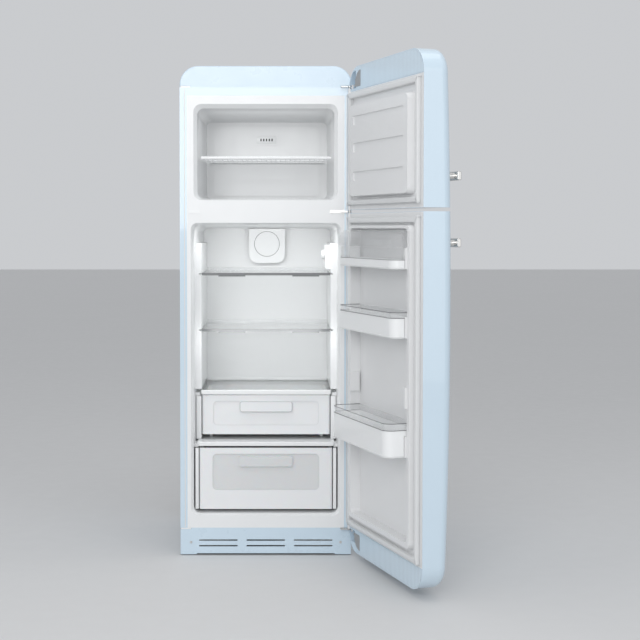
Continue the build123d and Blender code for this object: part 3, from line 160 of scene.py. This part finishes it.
PAINT = (0.585, 0.705, 0.800)
ALONG_HANDLE = (0.06, 1.0, 1.0)
ALONG_FINS = (1, 1, 0.1)
FINISHES = {
    "enamel": dict(
        colour=PAINT, rough=0.24, coat=0.7, coat_rough=0.03, tint=0.012, mottle=2.0,
        rough_spread=0.03, grain=260, depth=0.00002,
    ),
    "blue_plastic": dict(
        colour=PAINT, rough=0.30, coat=0.35, coat_rough=0.08, tint=0.014, mottle=3.0,
        rough_spread=0.04, grain=520, depth=0.00003,
    ),
    "liner": dict(
        colour=(0.80, 0.81, 0.815), rough=0.33, tint=0.010, mottle=2.5, rough_spread=0.04,
        grain=420, depth=0.00002, coat=0.15, coat_rough=0.2,
    ),
    "door_liner": dict(
        colour=(0.77, 0.775, 0.78), rough=0.36, tint=0.014, mottle=3.0, rough_spread=0.05,
        grain=420, depth=0.00003, coat=0.1, coat_rough=0.2,
    ),
    "white_part": dict(
        colour=(0.82, 0.83, 0.835), rough=0.30, tint=0.005, mottle=2.0, rough_spread=0.02,
        grain=300, depth=0.000006, coat=0.2, coat_rough=0.15,
    ),
    "drawer": dict(
        colour=(0.80, 0.81, 0.82), rough=0.30, tint=0.005, mottle=2.0, rough_spread=0.02,
        grain=300, depth=0.000006, subsurface=0.1, coat=0.25, coat_rough=0.1,
    ),
    "frosted": dict(
        colour=(0.68, 0.69, 0.695), rough=0.36, tint=0.02, mottle=4.0, rough_spread=0.05,
        grain=400, depth=0.00003, subsurface=0.2,
    ),
    "clear_part": dict(
        colour=(0.95, 0.96, 0.97), rough=0.07, tint=0.01, mottle=6.0, rough_spread=0.03,
        grain=300, depth=0.00002, clear=0.35, scratches=0.00001, alpha=0.20,
    ),
    "shelf_glass": dict(
        colour=(0.86, 0.94, 0.92), rough=0.03, tint=0.012, mottle=4.0, rough_spread=0.015,
        grain=80, depth=0.00001, clear=0.7, ior=1.52, alpha=0.20,
    ),
    "shelf_edge": dict(
        colour=(0.17, 0.175, 0.18), rough=0.32, tint=0.08, mottle=14.0, rough_spread=0.08,
        grain=500, depth=0.00003, coat=0.2,
    ),
    "gasket": dict(
        colour=(0.70, 0.71, 0.715), rough=0.52, tint=0.03, mottle=18.0, rough_spread=0.08,
        grain=600, depth=0.00004, sheen=0.15,
    ),
    "satin_metal": dict(
        colour=(0.72, 0.71, 0.69), rough=0.30, metal=1.0, tint=0.05, mottle=60.0,
        rough_spread=0.07, grain=900, depth=0.00002, stretch=ALONG_HANDLE, turn=-OPENING,
    ),
    "zinc": dict(
        colour=(0.62, 0.62, 0.61), rough=0.34, metal=1.0, tint=0.10, mottle=90.0,
        rough_spread=0.10, grain=600, depth=0.00003,
    ),
    "galvanised": dict(
        colour=(0.50, 0.52, 0.53), rough=0.42, metal=1.0, tint=0.16, mottle=12.0,
        rough_spread=0.10, grain=800, depth=0.00004, cells=70.0,
    ),
    "black_enamel": dict(
        colour=(0.018, 0.018, 0.020), rough=0.38, tint=0.25, mottle=25.0, rough_spread=0.08,
        grain=600, depth=0.00006, coat=0.3, coat_rough=0.2,
    ),
    "black_plastic": dict(
        colour=(0.028, 0.028, 0.030), rough=0.48, tint=0.2, mottle=25.0, rough_spread=0.10,
        grain=1400, depth=0.00008,
    ),
    "rubber": dict(
        colour=(0.020, 0.020, 0.020), rough=0.75, tint=0.25, mottle=40.0, rough_spread=0.10,
        grain=1600, depth=0.00008,
    ),
    "copper": dict(
        colour=(0.72, 0.36, 0.20), rough=0.30, metal=1.0, tint=0.16, mottle=22.0,
        rough_spread=0.12, grain=900, depth=0.00003,
    ),
    "aluminium": dict(
        colour=(0.74, 0.75, 0.76), rough=0.36, metal=1.0, tint=0.06, mottle=30.0,
        rough_spread=0.08, grain=1500, depth=0.00003, stretch=ALONG_FINS,
    ),
    "white_wire": dict(
        colour=(0.83, 0.84, 0.845), rough=0.28, tint=0.02, mottle=30.0, rough_spread=0.06,
        grain=900, depth=0.00003, coat=0.3,
    ),
    "foam": dict(
        colour=(0.80, 0.72, 0.45), rough=0.9, tint=0.10, mottle=40.0, rough_spread=0.05,
        grain=420, depth=0.0004, cells=160.0,
    ),
    "seam": dict(
        colour=(0.74, 0.66, 0.58), rough=0.55, tint=0.05, mottle=20.0, grain=500, depth=0.00004,
    ),
    # Near-black for thin lines of painted shade: the fan cover's groove and the door bins' edges.
    "shade_line_dark": dict(
        colour=(0.13, 0.133, 0.137), rough=0.4, tint=0.08, mottle=25.0, grain=500, depth=0.00003,
    ),
    # Dark grey for the painted shade round the upper drawer's grip.
    "grip_shade_grey": dict(
        colour=(0.36, 0.365, 0.37), rough=0.4, tint=0.08, mottle=25.0, grain=500, depth=0.00003,
    ),
    "plate_grey": dict(
        colour=(0.34, 0.345, 0.35), rough=0.5, tint=0.10, mottle=25.0, grain=500, depth=0.00004,
    ),
    "dial": dict(
        colour=(0.76, 0.77, 0.775), rough=0.30, tint=0.03, mottle=30.0, rough_spread=0.05,
        grain=1500, depth=0.00003, coat=0.2,
    ),
}
LOOKS = {name: surface(name, **finish) for name, finish in FINISHES.items()}

# ---- finishes of the CAD pieces ----
WORN = {
    "enamel": ["cabinet_shell", "freezer_door_skin", "fridge_door_skin"],
    "blue_plastic": ["top_cap", "kick_plate"],
    "liner": ["inner_liner", "freezer_back_panel"],
    "door_liner": ["freezer_door_liner", "fridge_door_liner"],
    "white_part": [
        "shelf_supports", "fan_cover", "control_box", "upper_cover_trim", "lower_cover",
        "dairy_bin", "middle_bin", "bottle_bin", "blank_covers",
    ],
    "drawer": ["upper_drawer", "lower_drawer"],
    "frosted": ["lower_drawer_window", "lamp_lens"],
    "clear_part": ["dairy_rim", "dairy_lid", "middle_bin_rim", "bottle_bin_rim"],
    "shelf_glass": ["upper_cover_glass", "upper_shelf_glass", "middle_shelf_glass"],
    "shelf_edge": ["upper_shelf_trim", "middle_shelf_trim"],
    "gasket": ["freezer_door_gasket", "fridge_door_gasket"],
    "satin_metal": ["freezer_door_handle", "fridge_door_handle"],
    "zinc": ["top_hinge", "middle_hinge", "bottom_hinge", "cabinet_screws"],
    "galvanised": ["back_panel", "base_frame"],
    "black_enamel": ["compressor", "condenser"],
    "black_plastic": [
        "relay_cover", "drip_tray", "fan_motor", "fan_impeller", "front_left_foot",
        "front_right_foot", "left_roller", "right_roller",
    ],
    "rubber": ["compressor_grommets"],
    "copper": ["filter_drier"],
    "aluminium": ["evaporator"],
    "white_wire": ["freezer_shelf"],
    "foam": ["cabinet_foam", "freezer_door_foam", "fridge_door_foam"],
    "dial": ["thermostat_knob"],
}
for look, names in WORN.items():
    for name in names:
        materials = nodes[name].data.materials
        if not materials:
            materials.append(LOOKS[look])
        for index in range(len(materials)):
            materials[index] = LOOKS[look]

# The raised back edge of each glass shelf is clear, unlike the front edge.
SHELF_REAR = 0.15
for name in ("upper_shelf_trim", "middle_shelf_trim"):
    mesh = nodes[name].data
    mesh.materials.append(LOOKS["clear_part"])
    for face in mesh.polygons:
        if face.center.y > SHELF_REAR:
            face.material_index = len(mesh.materials) - 1


# ---- helpers for the added pieces ----
def piece(name, shape, look, body):
    """Adds a finished mesh or curve as a piece that rides on a body."""
    made = bpy.data.objects.new(name, shape)
    scene.collection.objects.link(made)
    shape.materials.append(LOOKS[look])
    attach(made, body)
    return made


def finished(work, name, angle=35):
    """Turns a bmesh into a smooth mesh whose edges past the angle, in degrees, stay sharp."""
    mesh = bpy.data.meshes.new(name)
    work.to_mesh(mesh)
    work.free()
    for face in mesh.polygons:
        face.use_smooth = True
    mesh.set_sharp_from_angle(angle=math.radians(angle))
    return mesh


def join_loops(work, loops):
    """Fills the band between each loop of points and the next, and from the last to the first."""
    for index, here in enumerate(loops):
        there = loops[(index + 1) % len(loops)]
        for step in range(len(here)):
            after = (step + 1) % len(here)
            work.faces.new((here[step], here[after], there[after], there[step]))
    bmesh.ops.recalc_face_normals(work, faces=work.faces)


def quarter(centre, radius, first, steps):
    """Points on a quarter circle that starts at the angle first, in degrees."""
    angles = [math.radians(first + 90 * step / steps) for step in range(steps + 1)]
    return [(centre[0] + radius * math.cos(a), centre[1] + radius * math.sin(a)) for a in angles]


def round_line(name, points, radius, closed=False, bent=False, rounds=2):
    """A round rod through points in metres, straight between them or bent smoothly."""
    curve = bpy.data.curves.new(name, "CURVE")
    curve.dimensions = "3D"
    curve.bevel_depth = radius
    curve.bevel_resolution = rounds
    curve.use_fill_caps = not closed
    curve.resolution_u = 8
    spline = curve.splines.new("NURBS" if bent else "POLY")
    spline.points.add(len(points) - 1)
    for point, place in zip(spline.points, points):
        point.co = (*place, 1)
    spline.use_cyclic_u = closed
    if bent:
        spline.order_u = 3
        spline.use_endpoint_u = True
    return curve


# ---- magnetic seals: a bellows section swept round each door, with its corners cut off ----
# The section is in millimetres: how far in from the seal's outer edge, and out from the door.
SEAL_SECTION = [
    (4.0, 0.0), (20.0, 0.0), (21.2, 1.4), (20.6, 2.8), (18.6, 4.0), (20.6, 5.2),
    (21.6, 6.6), (20.6, 8.0), (19.0, 9.0), (20.2, 10.4), (20.4, 12.0), (19.2, 13.2),
    (17.0, 13.7), (5.0, 13.7), (2.6, 13.2), (1.2, 11.8), (1.0, 9.8), (2.8, 8.6),
    (1.4, 7.2), (1.0, 5.8), (3.0, 4.4), (1.4, 3.0), (1.6, 1.2),
]
SEAL_MIDDLE = 10
SEAL_HALF = 0.286
SEAL_OUTER_CUT = 0.004
SEAL_INNER_CUT = 0.0015


def seal(name, node, body, low, high):
    """A seal between two heights, in place of the plain CAD gasket."""
    work = bmesh.new()
    loops = []
    for inward, out in SEAL_SECTION:
        cut = SEAL_OUTER_CUT if inward < SEAL_MIDDLE else SEAL_INNER_CUT
        inset = inward / 1000
        corners = []
        for sx, sz in ((-1, -1), (1, -1), (1, 1), (-1, 1)):
            x = sx * (SEAL_HALF - inset)
            z = low + inset if sz < 0 else high - inset
            ends = [(x - sx * cut, z), (x, z - sz * cut)]
            corners += reversed(ends) if sx * sz < 0 else ends
        loops.append([work.verts.new(SWING @ Vector((x, DOOR_BACK + out / 1000, z))) for x, z in corners])
    join_loops(work, loops)
    made = piece(name, finished(work, name, 50), "gasket", body)
    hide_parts(node)


seal("freezer_seal", "freezer_door_gasket", "freezer_door", low=1.225, high=1.618)
seal("fridge_seal", "fridge_door_gasket", "fridge_door", low=0.112, high=1.191)

# ---- faint moulded ribs on the painted ends that reach past the cabinet ----
RIB_PITCH = 0.010
RIB_HEIGHT = 0.0008
RIB_LIFT = 0.00015
RIB_STEPS = 6
RIB_SPAN = (-0.292, 0.192)
RIB_MARGIN_INNER = 0.003
RIB_MARGIN_OUTER = 0.006


def ribs(name, body, inner, reach, sign):
    """A ribbed sheet on the back of a door's end, inside its round corners."""
    work = bmesh.new()
    start, stop = RIB_SPAN
    columns = int((stop - start) / RIB_PITCH * RIB_STEPS)
    previous = None
    for index in range(columns + 1):
        x = start + (stop - start) * index / columns
        wave = 0.5 - 0.5 * math.cos(2 * math.pi * index / RIB_STEPS)
        y = DOOR_BACK + RIB_LIFT + RIB_HEIGHT * wave
        over = max(0.0, abs(x) - DOOR_STRAIGHT)
        drop = DOOR_CORNER - math.sqrt(max(0.0, DOOR_CORNER**2 - over**2))
        foot = work.verts.new(SWING @ Vector((x, y, inner + sign * RIB_MARGIN_INNER)))
        head = work.verts.new(SWING @ Vector((x, y, reach - sign * (drop + RIB_MARGIN_OUTER))))
        if previous:
            work.faces.new((previous[0], foot, head, previous[1]))
        previous = (foot, head)
    bmesh.ops.recalc_face_normals(work, faces=work.faces)
    piece(name, finished(work, name, 60), "enamel", body)


ribs("freezer_door_ribs", "freezer_door", inner=1.622, reach=1.705, sign=1)
ribs("fridge_door_ribs", "fridge_door", inner=0.108, reach=0.027, sign=-1)


# ---- plain boxes, for small fixed trims and painted shade patches on the cabinet ----
def boxes(name, look, places, bevel=0.0):
    """Joins upright boxes, given in millimetres as (x, y, z) spans, into one piece."""
    work = bmesh.new()
    for spans in places:
        centre = Vector([(low + high) / 2000 for low, high in spans])
        size = [(high - low) / 1000 for low, high in spans]
        for vert in bmesh.ops.create_cube(work, size=1.0)["verts"]:
            vert.co = Vector([a * b for a, b in zip(vert.co, size)]) + centre
    if bevel:
        bmesh.ops.bevel(
            work, geom=list(work.edges), offset=bevel, segments=3, profile=0.5, affect="EDGES"
        )
    piece(name, finished(work, name, 40), look, "cabinet")


def both_sides(inner, outer):
    """The same span of x on the left and on the right."""
    return ((-outer, -inner), (inner, outer))


LOWER_GUIDE = ((-252, -236), (158, 374))
UPPER_GUIDE = ((-183, -168), (395, 549))
boxes(
    "drawer_guides", "white_part",
    [(x, *LOWER_GUIDE) for x in both_sides(237.4, 249)]
    + [(x, *UPPER_GUIDE) for x in both_sides(231.6, 250)],
    bevel=0.0012,
)

boxes(
    "vent_plate", "white_part",
    [((-38, 36), (99.6, 101.6), (1470, 1499))],
    bevel=0.0006,
)

# Black patches a little proud of the vent plate are painted shade, standing in for the dark inside its
# slots.
SLOT_COUNT = 5
SLOT_FIRST = -22
SLOT_PITCH = 10.5
SLOT_HALF = 2.6
slot_middles = [SLOT_FIRST + SLOT_PITCH * index for index in range(SLOT_COUNT)]
boxes(
    "vent_slot_shade", "black_plastic",
    [((x - SLOT_HALF, x + SLOT_HALF), (99.2, 100.4), (1479.5, 1489)) for x in slot_middles],
    bevel=0.0003,
)

SEAM_DEPTH = (-278.2, -277.0)
left_seam, right_seam = both_sides(282.4, 284.2)
boxes(
    "liner_seams", "seam",
    [(left_seam, SEAM_DEPTH, (100, 1636)), (right_seam, SEAM_DEPTH, (116, 1613))],
)

TRIM_WIDTH = (286.4, 299.4)
TRIM_DEPTH = (-279.4, -277.8)
TRIM_HEIGHTS = ((116, 1184), (1232, 1613))
boxes(
    "hinge_side_trim", "liner",
    [(TRIM_WIDTH, TRIM_DEPTH, height) for height in TRIM_HEIGHTS],
    bevel=0.0004,
)

# ---- a dark ring of painted shade for the groove let into the fan cover ----
RING_SIDES = 96
RING_RISE = 0.0006


def ring(name, centre, radius, width, look, body):
    """A flat ring that faces the front and stands a little proud of its centre's depth."""
    work = bmesh.new()
    turns = [2 * math.pi * side / RING_SIDES for side in range(RING_SIDES)]
    loops = []
    for r, y in ((radius, 0), (radius, -RING_RISE), (radius - width, -RING_RISE), (radius - width, 0)):
        around = [Vector((r * math.cos(turn), y, r * math.sin(turn))) for turn in turns]
        loops.append([work.verts.new(Vector(centre) + place) for place in around])
    join_loops(work, loops)
    piece(name, finished(work, name), look, body)


ring("fan_ring_shade", (0, 0.1381, 1.090), 0.0485, 0.0016, "shade_line_dark", "cabinet")

# ---- painted shade lines at the joint, top and foot of the door bins, in millimetres on the shut door ----
BIN_HALF = 226.3
BIN_REAR = -304.0
BIN_CORNER = 30.0
BIN_CORNER_STEPS = 9
THIN_LINE = 0.0007
TOP_LINE = 0.0010
FOOT_LINE = 0.0016


def bin_line(name, body, z, front, radius, look="shade_line_dark"):
    """A thin dark line of painted shade round the outside of a bin, at height z."""
    side = [(BIN_HALF, BIN_REAR)]
    side += quarter((BIN_HALF - BIN_CORNER, front - BIN_CORNER), BIN_CORNER, 0, BIN_CORNER_STEPS)
    path = side + [(-x, y) for x, y in reversed(side)]
    points = [SWING @ Vector((x / 1000, y / 1000, z / 1000)) for x, y in path]
    piece(name, round_line(name, points, radius), look, body)


# Near-black lines paint the shade at the rims' joints and tops; the seal's grey paints the shade under
# each bin.
bin_line("middle_bin_joint_shade", "middle_bin", 872, -221.7, TOP_LINE)
bin_line("middle_bin_top_shade", "middle_bin", 889.6, -222.2, TOP_LINE)
bin_line("middle_bin_foot_shade", "middle_bin", 813.5, -222.6, FOOT_LINE, "gasket")
bin_line("bottle_bin_joint_shade", "bottle_bin", 524, -199.7, TOP_LINE)
bin_line("bottle_bin_top_shade", "bottle_bin", 545.6, -200.2, TOP_LINE)
bin_line("bottle_bin_foot_shade", "bottle_bin", 443.5, -200.6, FOOT_LINE, "gasket")
bin_line("dairy_joint_shade", "fridge_door", 1052, -221.7, THIN_LINE)
bin_line("dairy_foot_shade", "fridge_door", 1027.5, -222.6, FOOT_LINE, "gasket")

# ---- painted shade lines along the edges of the drawers' panels and grips ----
OUTLINE_CORNER_STEPS = 6


def outline(name, body, y, half, low, high, corner, radius, look):
    """A thin rounded frame of painted shade on a front face, with its places in millimetres."""
    side, bottom, top = half - corner, low + corner, high - corner
    centres = ((side, top), (-side, top), (-side, bottom), (side, bottom))
    path = []
    for index, centre in enumerate(centres):
        path += quarter(centre, corner, 90 * index, OUTLINE_CORNER_STEPS)
    points = [(x / 1000, y / 1000, z / 1000) for x, z in path]
    piece(name, round_line(name, points, radius, closed=True), look, body)


# The seal's grey and a darker grey paint the shade along the panels' and grips' edges.
outline("upper_panel_shade_line", "upper_drawer", -184.8, 188, 445, 531, 14, 0.0007, "gasket")
outline("upper_grip_shade_line", "upper_drawer", -193.8, 93, 494, 530, 8, 0.0008, "grip_shade_grey")
outline("lower_window_shade_line", "lower_drawer", -253.8, 188, 226, 354, 16, 0.0008, "gasket")
outline("lower_grip_shade_line", "lower_drawer", -261.8, 93, 311, 345, 8, 0.0006, "gasket")

# ---- grey slatted plates at the doors' hinge corners ----
PLATE_START = 0.1975
PLATE_WIDTH = 0.050
PLATE_SLATS = 9
SLAT_GAP = 0.0008
SLAT_SUNK = 0.0002
SLAT_RISE = 0.0016


def hinge_plate(name, body, z, reach):
    """A quarter-oval plate with upright slats, on the back of a door beside its hinge."""
    work = bmesh.new()
    pitch = PLATE_WIDTH / PLATE_SLATS
    for index in range(PLATE_SLATS):
        left = PLATE_START + pitch * index
        right = left + pitch - SLAT_GAP
        tip = z + reach * math.sqrt(1 - ((right - PLATE_START) / PLATE_WIDTH) ** 2)
        for vert in bmesh.ops.create_cube(work, size=1.0)["verts"]:
            x = right if vert.co.x > 0 else left
            y = DOOR_BACK + (SLAT_RISE if vert.co.y > 0 else -SLAT_SUNK)
            at_tip = (vert.co.z > 0) == (reach > 0)
            vert.co = Vector((x, y, tip if at_tip else z))
    bmesh.ops.recalc_face_normals(work, faces=work.faces)
    bmesh.ops.transform(work, matrix=SWING, verts=work.verts)
    piece(name, finished(work, name), "plate_grey", body)


hinge_plate("freezer_hinge_plate", "freezer_door", 1.635, 0.055)
hinge_plate("fridge_hinge_plate", "fridge_door", 0.094, -0.052)


# ---- copper lines of the sealed circuit, behind and below ----
def pipe(name, radius, path):
    """A bent copper line through points in millimetres."""
    points = [[value / 1000 for value in place] for place in path]
    piece(name, round_line(name, points, radius, bent=True, rounds=4), "copper", "cabinet")


pipe(
    "discharge_line", 0.003,
    [(-174, 150, 128), (-196, 150, 128), (-216, 156, 140), (-222, 200, 170), (-222, 250, 215),
     (-222, 262, 262), (-222, 262, 316), (-212, 262, 330), (-203, 262, 330)],
)
pipe(
    "suction_line", 0.004,
    [(-174, 172, 128), (-188, 172, 128), (-200, 180, 150), (-196, 214, 214), (-176, 238, 262),
     (-166, 254, 300), (-166, 254, 322), (-166, 244, 336)],
)
pipe(
    "process_tube", 0.003,
    [(-174, 194, 128), (-190, 194, 128), (-204, 200, 130), (-212, 212, 142), (-212, 222, 160)],
)
pipe(
    "liquid_line", 0.0025,
    [(203, 262, 1530), (232, 262, 1530), (250, 262, 1516), (251, 262, 1300), (249, 262, 900),
     (251, 262, 500), (250, 262, 330), (248, 260, 262), (226, 236, 214), (194, 212, 206), (190, 210, 181)],
)
pipe(
    "capillary_line", 0.0012,
    [(190, 210, 61), (190, 210, 48), (176, 206, 40), (150, 190, 50), (128, 180, 90), (140, 190, 140),
     (152, 214, 200), (150, 246, 262), (150, 256, 310), (150, 244, 330)],
)

# ---- floor ----
FLOOR_SIZE = 60
bpy.ops.mesh.primitive_plane_add(size=FLOOR_SIZE, location=(0, 0, 0))
floor = bpy.context.object
floor.name = "floor"
floor.data.materials.append(
    surface("floor_paint", (0.66, 0.66, 0.66), 0.55, tint=0.015, mottle=1.5, grain=300, depth=0.00005)
)

# ---- light: a pale studio, three large softboxes and a small lamp in each space ----
DAYLIGHT = (0.95, 0.97, 1.0, 1)
DAYLIGHT_STRENGTH = 0.62
world = bpy.data.worlds.new("studio")
scene.world = world
world.use_nodes = True
background = world.node_tree.nodes["Background"]
background.inputs["Color"].default_value = DAYLIGHT
background.inputs["Strength"].default_value = DAYLIGHT_STRENGTH
scene.view_settings.view_transform = "Standard"


def softbox(name, place, target, size, power):
    """A rectangular light, in metres and watts, aimed at a target."""
    light = bpy.data.lights.new(name, "AREA")
    light.shape = "RECTANGLE"
    light.size, light.size_y = size
    light.energy = power
    made = bpy.data.objects.new(name, light)
    made.location = place
    made.rotation_euler = (Vector(target) - Vector(place)).to_track_quat("-Z", "Y").to_euler()
    scene.collection.objects.link(made)


softbox("key", (-0.7, -5.2, 2.3), (0.0, 0, 0.9), (2.8, 2.4), 92)
softbox("fill", (2.9, -3.4, 1.6), (0.4, -0.4, 0.9), (1.4, 2.8), 11)
softbox("top", (0.2, -1.2, 3.6), (0.2, -0.3, 0.8), (3.0, 2.4), 22)
softbox("fridge_lamp", (0.0, -0.215, 1.150), (0.0, 0.05, 0.75), (0.42, 0.05), 0.72)
softbox("shelf_lamp", (0.0, -0.245, 0.77), (0.0, 0.10, 0.62), (0.40, 0.04), 0.26)
softbox("freezer_lamp", (0.0, -0.225, 1.535), (0.0, 0.05, 1.30), (0.38, 0.04), 0.16)

# ---- camera: straight in front, tilted down a little, with its frame shifted ----
# The shifts are parts of the picture's width. SHIFT_DOWN is what a level camera would need.
EYE = (0.050, -4.640, 1.151)
TILT = math.radians(1.7)
FOCAL_LENGTH = 70.2
SENSOR_WIDTH = 36
SHIFT_RIGHT = 0.0625
SHIFT_DOWN = 0.14375
camera = bpy.data.cameras.new("camera")
camera.sensor_width = SENSOR_WIDTH
camera.lens = FOCAL_LENGTH
camera.shift_x = SHIFT_RIGHT
camera.shift_y = math.tan(TILT) * FOCAL_LENGTH / SENSOR_WIDTH - SHIFT_DOWN
eye = bpy.data.objects.new("camera", camera)
eye.location = EYE
eye.rotation_euler = (math.radians(90) - TILT, 0, 0)
scene.collection.objects.link(eye)
scene.camera = eye
